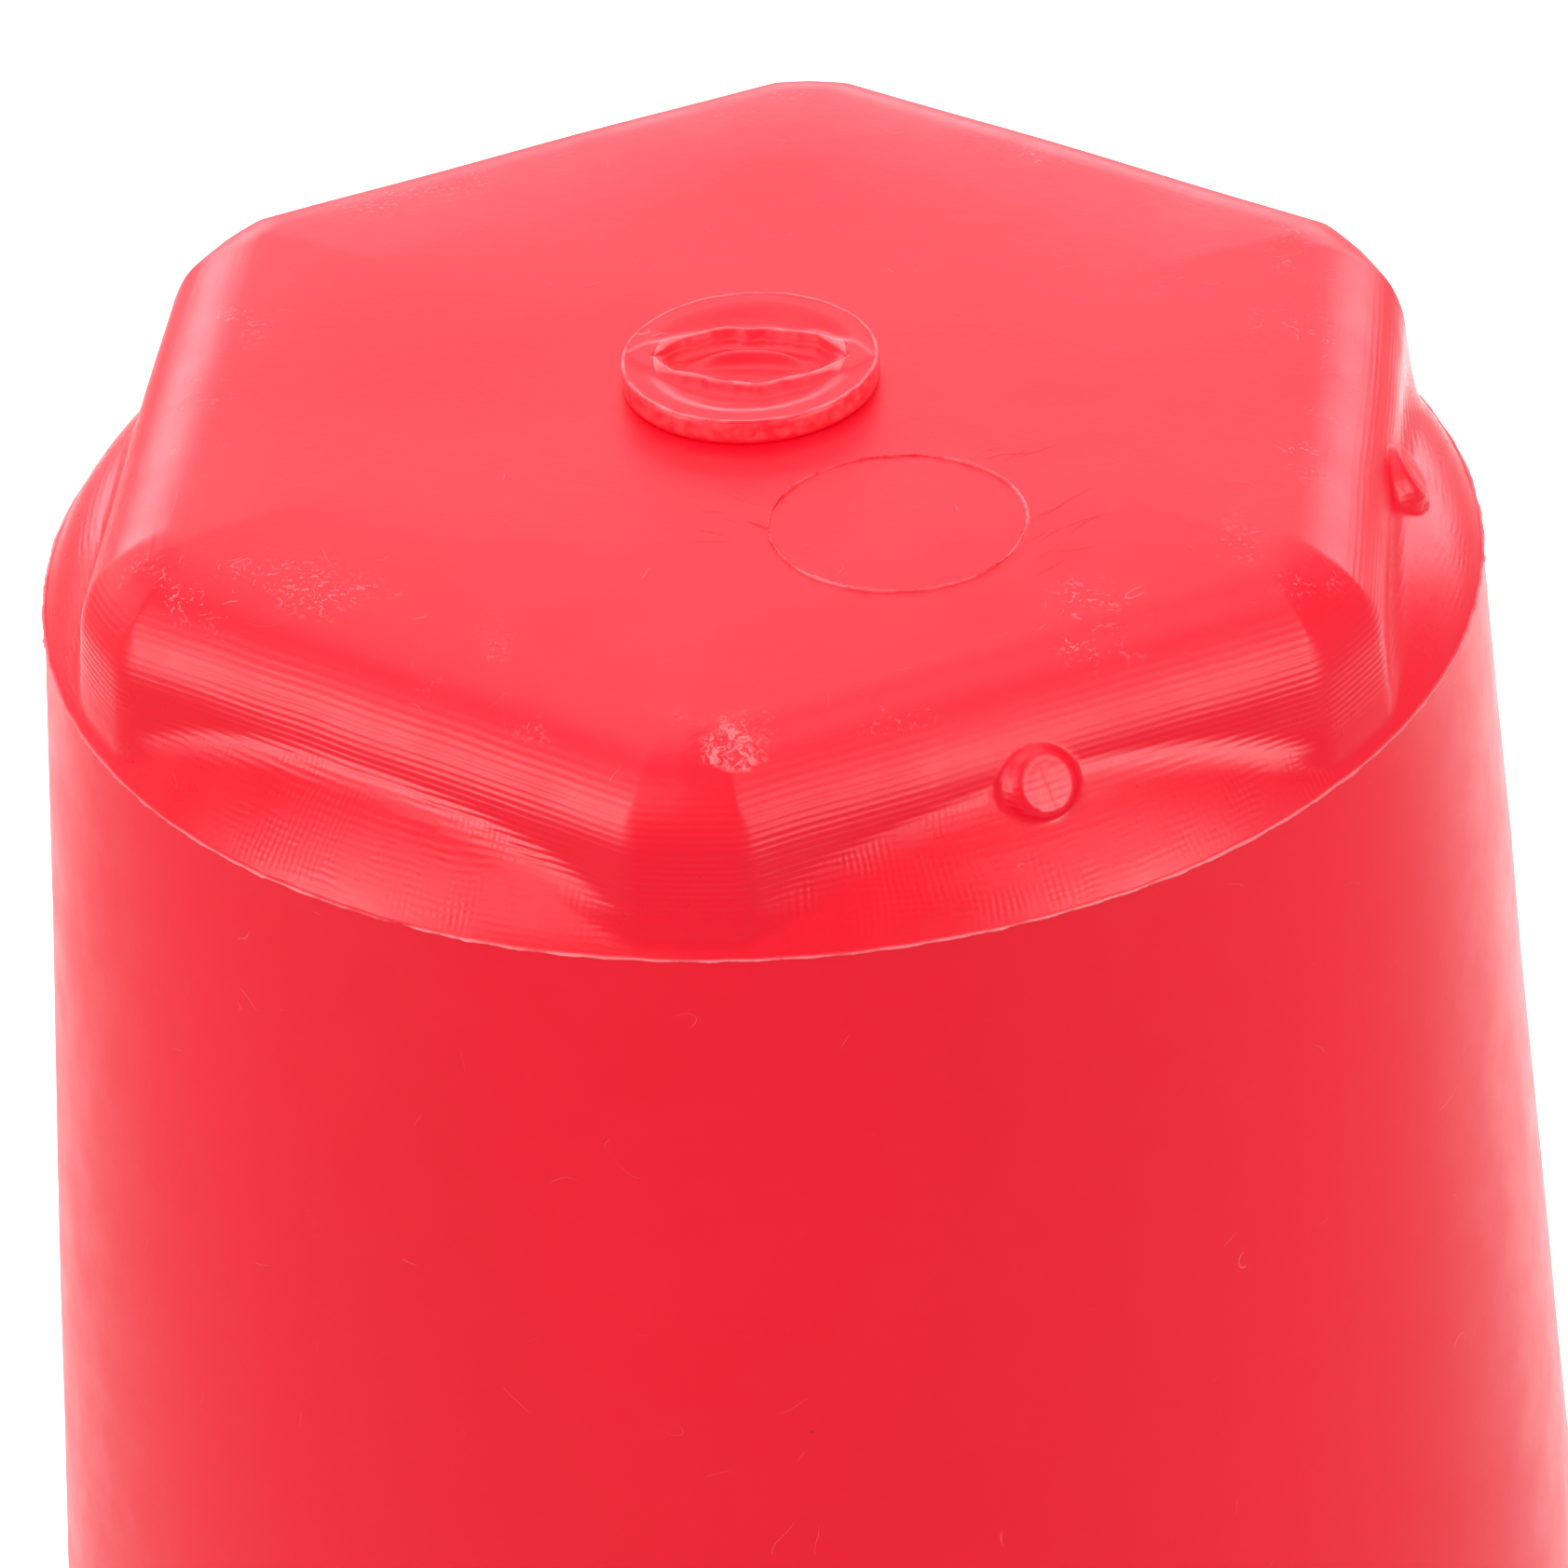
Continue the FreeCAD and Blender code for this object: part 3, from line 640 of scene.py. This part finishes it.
def turned_metal(name, colour, rough):
    """Metal with fine tool lines and a slightly clouded surface."""
    material, tree, shader = new_material(name, Metallic=1.0)
    where = object_position(tree)
    cloud = noise(tree, where, 160.0, detail=4.0)
    stretched = add_node(tree, "ShaderNodeMapping", {0: where, 3: (1.0, 1.0, 9.0)}).outputs[0]
    lines = noise(tree, stretched, 700.0, detail=3.0)
    dull = tuple(0.72 * value for value in colour[:3]) + (1.0,)
    tree.links.new(blend_colour(tree, remap(tree, cloud, 0.35, 0.7, 0.0, 0.7), colour, dull),
                   shader.inputs["Base Color"])
    tree.links.new(remap(tree, cloud, 0.3, 0.7, rough, rough + 0.16), shader.inputs["Roughness"])
    tree.links.new(bump(tree, lines, 0.02), shader.inputs["Normal"])
    return material


def reflective_film():
    """White sheeting with a fine honeycomb of cells under a clear glossy face."""
    material, tree, shader = new_material("reflective_film", Coat_Weight=0.6, Coat_Roughness=0.12)
    where = object_position(tree)
    cells = add_node(tree, "ShaderNodeTexVoronoi", {"Vector": where, "Scale": 330.0},
                     feature="DISTANCE_TO_EDGE")
    walls = remap(tree, cells.outputs["Distance"], 0.02, 0.10, 1.0, 0.0)
    colour = blend_colour(tree, walls, (0.80, 0.81, 0.83, 1.0), (0.60, 0.61, 0.64, 1.0))
    dust = remap(tree, noise(tree, where, 40.0, detail=5.0), 0.5, 0.75, 0.0, 0.35)
    colour = blend_colour(tree, dust, colour, (0.62, 0.58, 0.54, 1.0))
    tree.links.new(colour, shader.inputs["Base Color"])
    tree.links.new(remap(tree, walls, 0.0, 1.0, 0.28, 0.5), shader.inputs["Roughness"])
    tree.links.new(bump(tree, walls, 0.03), shader.inputs["Normal"])
    return material


# ---------------------------------------------------------------- the tank's skin

FLASH_HEIGHT, FLASH_TALLEST, FLASH_HALF_WIDTH = 0.25, 0.44, 0.26
RING_HEIGHT, RING_HALF_WIDTH = 0.20, 0.19
CREASE_HALF_WIDTH, CREASE_HEIGHT = 0.09, 0.035


def keep_inside_and_foot(mesh):
    """Cuts the CAD shell's outer skin away above the seam; what is left keeps its place."""
    everything = mesh.verts[:] + mesh.edges[:] + mesh.faces[:]
    bmesh.ops.bisect_plane(mesh, geom=everything, dist=1e-7,
                           plane_co=(0, 0, SEAM_HEIGHT * MM), plane_no=(0, 0, 1))
    centres = np.array([face.calc_center_median() for face in mesh.faces]) / MM
    x, y, z = centres.T
    on_skin = tank_distance(x, y, z - PARTING_HEIGHT) > -WALL / 2
    unwanted = on_skin & (z > SEAM_HEIGHT) & (np.hypot(x, y) > SEAL_RADIUS + 0.3)
    mesh.faces.ensure_lookup_table()
    doomed = [mesh.faces[index] for index in np.flatnonzero(unwanted)]
    bmesh.ops.delete(mesh, geom=doomed, context="FACES")


def add_mould_line(mesh):
    """Thin ragged flash where the two halves of the mould met, nicked here and there."""
    count = 1200
    turn = np.arange(count) * 2 * math.pi / count
    wander = 0.16 * (ragged(count, 0.0, SEED + 1) - 1)
    outward = np.stack([np.sin(turn), -np.cos(turn), 0 * turn], axis=-1)
    path = outward * PARTING_RADIUS + np.stack([0 * turn, 0 * turn, PARTING_HEIGHT + wander], -1)
    height = FLASH_HEIGHT * ragged(count, 0.12, SEED + 2)
    source = np.random.default_rng(SEED + 5)
    for place in source.integers(0, count, 26):
        height[(place + np.arange(source.integers(2, 7))) % count] *= source.uniform(1.2, 1.8)
    height = np.minimum(height, FLASH_TALLEST)
    add_loop_ridge(mesh, path, outward, UPWARD, FLASH_HALF_WIDTH, height)


def top_level(x, y):
    """Height of the top face at a place."""
    return TANK_TOP - crown(side_reach(x, y)) + waviness(x, y, HEAD_RISE + 0 * x)


def add_witness_mark(mesh):
    """Fine raised ring on the top face, left by a round insert in the mould."""
    count = 360
    turn = np.arange(count) * 2 * math.pi / count
    radius = WITNESS_RADIUS + 0.14 * (ragged(count, 0.06, SEED + 3) - 1)
    centre = witness_centre()
    spoke = np.stack([np.sin(turn), -np.cos(turn), 0 * turn], axis=-1)
    x, y = centre[0] + radius * spoke[:, 0], centre[1] + radius * spoke[:, 1]
    path = np.stack([x, y, top_level(x, y)], -1)
    height = RING_HEIGHT * ragged(count, 0.25, SEED + 4)
    add_loop_ridge(mesh, path, UPWARD, spoke, RING_HALF_WIDTH, height)


def witness_centre():
    """Where the round mark's centre lies on the top face."""
    return WITNESS_DISTANCE * np.array([math.sin(WITNESS_AZIMUTH), -math.cos(WITNESS_AZIMUTH)])


def add_top_crease(mesh, start, heading, length, bend, width, height):
    """A fine crease on the top face: a bent line that rises and fades towards its ends."""
    share = np.linspace(0, 1, 12)
    angle = heading + bend * (share - 0.5)
    step = length / (len(share) - 1)
    x = start[0] + np.concatenate([[0], np.cumsum(np.cos(angle[:-1]))]) * step
    y = start[1] + np.concatenate([[0], np.cumsum(np.sin(angle[:-1]))]) * step
    swell = np.sin(math.pi * np.clip(share, 0.04, 0.96))
    level = top_level(x, y)
    across = np.stack([-np.sin(angle), np.cos(angle)], -1) * (width * swell)[:, None]
    left = np.stack([x + across[:, 0], y + across[:, 1], level - 0.02], -1)
    right = np.stack([x - across[:, 0], y - across[:, 1], level - 0.02], -1)
    crest = np.stack([x, y, level + height * swell], -1)
    under = np.stack([x, y, level - 0.10], -1)
    add_grid(mesh, np.stack([left, crest, right, under, left]), closed=False, flip=True)


def add_drag_lines(mesh):
    """Creases beside the round mark, with one nick that tails off it."""
    source = np.random.default_rng(SEED + 6)
    centre = witness_centre()
    bunches = ((-100.0, 2.75, 9), (78.0, 0.75, 10), (150.0, 0.4, 5))
    for azimuth, heading, count in bunches:
        for _ in range(count):
            turn = math.radians(azimuth + source.uniform(-26, 26))
            away = WITNESS_RADIUS + source.uniform(0.6, 5.0)
            start = centre + away * np.array([math.sin(turn), -math.cos(turn)])
            add_top_crease(mesh, start, heading + source.normal() * 0.22,
                           source.uniform(2.0, 6.5), source.normal() * 0.35,
                           CREASE_HALF_WIDTH, CREASE_HEIGHT)
    tail = centre + WITNESS_RADIUS * np.array([math.sin(math.radians(-82)),
                                               -math.cos(math.radians(-82))])
    add_top_crease(mesh, tail, 2.55, 3.2, 0.4, 0.16, 0.14)


def tank_skin(material):
    """The CAD shell's inside and foot, with the head and upper column modelled in full."""
    mesh = bmesh.new()
    mesh.from_mesh(frame["nodes"]["body_shell"].data)
    bmesh.ops.remove_doubles(mesh, verts=mesh.verts, dist=1e-6)
    keep_inside_and_foot(mesh)
    add_grid(mesh, skin_points())
    add_mould_line(mesh)
    add_witness_mark(mesh)
    add_drag_lines(mesh)
    piece = finished("tank_skin", mesh, "tank", material, 38)
    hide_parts("body_shell")


# ---------------------------------------------------------------- the fill plug

PLUG_SEGMENTS = 240
DISH_DEPTH = 0.9
GRIP_LENGTH = 23.0
GRIP_WIDTH = 11.6
HOLLOW_DEPTH = 0.55                 # of the grip, below the dish
STEM_RADIUS = SEAL_RADIUS - 2.35
STEM_WALL = 2.2


def lens_depth(x, y, length, width):
    """How far inside a lens outline a point is; negative outside."""
    radius = (length ** 2 + width ** 2) / (4 * width)
    shift = radius - width / 2
    return radius - np.maximum(np.hypot(x, y + shift), np.hypot(x, y - shift))


def plug_face_height(x, y):
    """Height of the plug's face: a flat ledge, a shallow dish and the pinched grip across it."""
    radius, azimuth = np.hypot(x, y), np.arctan2(x, -y)
    rag = 0.55 + 0.3 * np.sin(7 * azimuth + 1) + 0.3 * np.sin(19 * azimuth + 2)
    rag = np.clip(rag + 0.2 * np.sin(43 * azimuth), 0, 1)
    burr = 0.13 * rag * np.exp(-((radius - PLUG_RADIUS + 0.24) / 0.17) ** 2)
    edge = 0.30 * smooth_step(PLUG_RADIUS - 0.16, PLUG_RADIUS, radius)
    dish = PLUG_RISE - 0.14 - DISH_DEPTH * (1 - smooth_step(8.4, 12.0, radius)) + burr - edge
    sway = 0.30 * np.sin(0.52 * x + 1.1) + 0.15 * np.sin(1.25 * x + 2.4) * np.sign(y)
    tatter = 0.06 * np.sin(2.1 * x + 3 * np.sign(y)) + 0.03 * np.sin(4.3 * x)
    depth = lens_depth(x, y - 0.4 + sway + 0.5 * tatter, GRIP_LENGTH, GRIP_WIDTH)
    lip = (0.93 + 0.6 * tatter) * np.exp(-(depth / np.where(depth < 0, 1.15, 0.42)) ** 2)
    fold = 0.24 * np.exp(-((depth - 1.0 - tatter) / 0.22) ** 2) * (y > 0)
    hollow = HOLLOW_DEPTH * smooth_step(0.2, 2.4, depth)
    ridge = 1.15 * np.exp(-((y - 1.7 + 0.03 * x ** 2) / 1.0) ** 2) * np.exp(-(x / 5.4) ** 4)
    curls = 0.45 * np.exp(-((x + 8.3) ** 2 + (y - 0.1) ** 2) / 0.30)
    curls += 0.40 * np.exp(-((x + 9.9) ** 2 + (y + 0.2) ** 2) / 0.35)
    curls += 0.45 * np.exp(-((x - 9.6) ** 2 + (y - 0.1) ** 2) / 0.30)
    return np.minimum(dish + lip + fold + ridge + curls - hollow, PLUG_RISE - 0.01)


def fill_plug(material):
    """The plug as one turned shape: its modelled face, its flange and its hollow stem."""
    mesh = bmesh.new()
    turn = np.arange(PLUG_SEGMENTS) * 2 * math.pi / PLUG_SEGMENTS
    sine, cosine = np.sin(turn), -np.cos(turn)
    stem, bore = STEM_RADIUS, STEM_RADIUS - STEM_WALL
    bottom = PLUG_STEM_END - TANK_TOP
    rings = []
    for radius in np.concatenate([np.linspace(0.02, PLUG_RADIUS - 0.6, 76),
                                  PLUG_RADIUS - np.array([0.45, 0.33, 0.22, 0.12, 0.05, 0.0])]):
        x, y = radius * sine, radius * cosine
        rings.append(np.stack([x, y, TANK_TOP + plug_face_height(x, y)], axis=-1))
    under = [(PLUG_RADIUS, PLUG_RISE - 1.0), (PLUG_RADIUS, PLUG_RISE - 2.0), (PLUG_RADIUS, 0.25),
             (PLUG_RADIUS - 0.25, 0.0), (stem, 0.0), (stem, bottom + 1.5),
             (stem - 0.35, bottom + 0.4), (stem - 0.8, bottom), (bore + 0.2, bottom),
             (bore, bottom + 0.3), (bore, -0.6), (bore - 0.6, 0.0), (0.02, 0.0)]
    for radius, height in under:
        level = TANK_TOP + height + 0 * turn
        rings.append(np.stack([radius * sine, radius * cosine, level], axis=-1))
    add_grid(mesh, np.stack(rings))
    piece = finished("fill_plug_detailed", mesh, "plug", material, 50)
    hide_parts("fill_plug")


# ---------------------------------------------------------------- the other pieces

def softened(node, material, width):
    """A copy of a CAD piece with its sharp edges rounded, in place of the CAD one."""
    body = frame["nodes"][node]["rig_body"]
    mesh = bmesh.new()
    mesh.from_mesh(frame["nodes"][node].data)
    bmesh.ops.remove_doubles(mesh, verts=mesh.verts, dist=1e-6)
    flat = math.radians(1.0)
    bmesh.ops.dissolve_limit(mesh, angle_limit=flat, verts=mesh.verts, edges=mesh.edges)
    sharp = [edge for edge in mesh.edges
             if edge.is_manifold and edge.calc_face_angle(0) > math.radians(32)]
    bmesh.ops.bevel(mesh, geom=sharp, offset=width * MM, segments=2, profile=0.6,
                    affect="EDGES", clamp_overlap=True)
    piece = finished(node + "_softened", mesh, body, material, 30)
    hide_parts(node)


def paint(node, material):
    """Gives a carried-over CAD piece its material."""
    data = frame["nodes"][node].data
    data.materials.clear()
    data.materials.append(material)


def build_pieces():
    red = tank_plastic()
    black = soft_material("black_plastic", (0.022, 0.022, 0.024, 1), (0.035, 0.035, 0.037, 1),
                          0.42, 900.0, 0.02)
    grey = soft_material("grey_rubber", (0.05, 0.05, 0.052, 1), (0.075, 0.075, 0.078, 1),
                         0.72, 1500.0, 0.03)
    seal = soft_material("seal_rubber", (0.02, 0.02, 0.02, 1), (0.03, 0.03, 0.03, 1),
                         0.6, 1500.0, 0.02)
    brass = turned_metal("brass", (0.78, 0.55, 0.22, 1.0), 0.28)
    zinc = turned_metal("zinc_steel", (0.66, 0.67, 0.69, 1.0), 0.30)
    film = reflective_film()
    tank_skin(red)
    fill_plug(red)
    softened("drain_plug", black, 0.6)
    softened("link_collar", black, 0.8)
    softened("collar_liner", grey, 0.6)
    softened("link_eyes", zinc, 0.8)
    softened("eye_rivets", zinc, 0.5)
    softened("foot_pads", grey, 0.7)
    for node, material in (("fill_seal", seal), ("drain_washer", seal), ("drain_bush", brass),
                           ("foot_inserts", brass), ("foot_washers", zinc), ("foot_screws", zinc),
                           ("reflective_band_upper", film), ("reflective_band_lower", film)):
        paint(node, material)


# ---------------------------------------------------------------- floor, light and camera

CAMERA_AZIMUTH = math.radians(7.19)
CAMERA_ELEVATION = math.radians(32.95)
CAMERA_DISTANCE = 13.176 * PARTING_RADIUS * MM
CAMERA_ROLL = math.radians(3.46)
SENSOR_WIDTH = 36.0
CAMERA_LENS = 214.0535                    # on that sensor
TARGET_SIDE = 0.0117 * PARTING_RADIUS * MM
TARGET_DROP = 0.3782 * PARTING_RADIUS * MM

FLOOR_RADIUS = 14.0                       # metres
WORLD_LEVEL = 0.35
BOX_DISTANCE = 1.7                        # metres from the head to each softbox
BOX_SIZE = 0.8                            # metres
BOX_SPREAD = 100                          # degrees
BACK_TINT = (1.0, 0.985, 1.08)            # colour of the boxes behind the object
SOFTBOXES = (                             # azimuth and elevation in degrees, watts
    (-150, 12, 2.0), (180, 12, 1.5), (150, 12, 1.7), (-120, 12, 0.9),
    (-60, 12, 3.6), (60, 12, 3.6),
    (-60, 38, 1.1), (-30, 38, 1.15), (60, 38, 1.05), (-112, 68, 1.5), (100, 68, 1.3))
WASHES = (                                # place, aim and size in metres, watts, degrees
    ("back_wash", (0, 1.9, 3.2), (0, 1.7, 0), (2.4, 1.6), 14.0, 120),
    ("floor_wash", (0, 1.4, 1.0), (0, 1.4, 0), (1.8, 1.0), 14.0, 100))


def floor():
    """A plain pale studio floor."""
    material, tree, shader = new_material("floor_paint", Roughness=0.6)
    where = object_position(tree)
    mottle = noise(tree, where, 3.0, detail=5.0)
    colour = blend_colour(tree, mottle, (0.90, 0.90, 0.905, 1.0), (0.92, 0.92, 0.925, 1.0))
    tree.links.new(colour, shader.inputs["Base Color"])
    bpy.ops.mesh.primitive_circle_add(vertices=128, radius=FLOOR_RADIUS, fill_type="NGON")
    disc = bpy.context.object
    disc.name = "floor"
    disc.data.materials.append(material)


def area_light(name, place, aim, size, power, spread, tint=(1.0, 1.0, 1.0)):
    data = bpy.data.lights.new(name, "AREA")
    data.shape = "RECTANGLE"
    data.size, data.size_y = size
    data.energy = power
    data.color = tint
    data.spread = math.radians(spread)
    light = bpy.data.objects.new(name, data)
    bpy.context.scene.collection.objects.link(light)
    light.location = place
    light.rotation_euler = (Vector(aim) - Vector(place)).to_track_quat("-Z", "Y").to_euler()
    light.visible_camera = False


def lights():
    """Soft boxes round the object, all looking at its head, and two washes on the floor."""
    world = bpy.data.worlds.new("studio")
    bpy.context.scene.world = world
    world.use_nodes = True
    background = world.node_tree.nodes["Background"]
    background.inputs[0].default_value = (1.0, 1.0, 1.0, 1.0)
    background.inputs[1].default_value = WORLD_LEVEL
    head = Vector((0, 0, PARTING_HEIGHT * MM))
    for azimuth, elevation, power in SOFTBOXES:
        turn, lift = math.radians(azimuth), math.radians(elevation)
        way = Vector((math.sin(turn) * math.cos(lift), -math.cos(turn) * math.cos(lift),
                      math.sin(lift)))
        tint = BACK_TINT if abs(azimuth) > 140 else (1.0, 1.0, 1.0)
        area_light("softbox_%d_%d" % (azimuth, elevation), head + way * BOX_DISTANCE, head,
                   (BOX_SIZE, BOX_SIZE), power, BOX_SPREAD, tint)
    for name, place, aim, size, power, spread in WASHES:
        area_light(name, place, aim, size, power, spread)


def camera():
    """Looks down at the head from the front, a little from the right, and slightly rolled."""
    data = bpy.data.cameras.new("camera")
    data.sensor_width = SENSOR_WIDTH
    data.lens = CAMERA_LENS
    eye = bpy.data.objects.new("camera", data)
    bpy.context.scene.collection.objects.link(eye)
    cos_e, sin_e = math.cos(CAMERA_ELEVATION), math.sin(CAMERA_ELEVATION)
    side = Vector((math.cos(CAMERA_AZIMUTH), math.sin(CAMERA_AZIMUTH), 0))
    back = Vector((math.sin(CAMERA_AZIMUTH) * cos_e, -math.cos(CAMERA_AZIMUTH) * cos_e, sin_e))
    target = side * TARGET_SIDE + Vector((0, 0, PARTING_HEIGHT * MM - TARGET_DROP))
    upward = back.cross(side)
    axes = Matrix((side, upward, back)).transposed()
    eye.matrix_world = (Matrix.Translation(target + back * CAMERA_DISTANCE)
                        @ (axes @ Matrix.Rotation(-CAMERA_ROLL, 3, "Z")).to_4x4())
    data.clip_start = 0.05
    data.clip_end = 60.0
    bpy.context.scene.camera = eye
    bpy.context.scene.view_settings.view_transform = "Standard"


build_pieces()
floor()
lights()
camera()
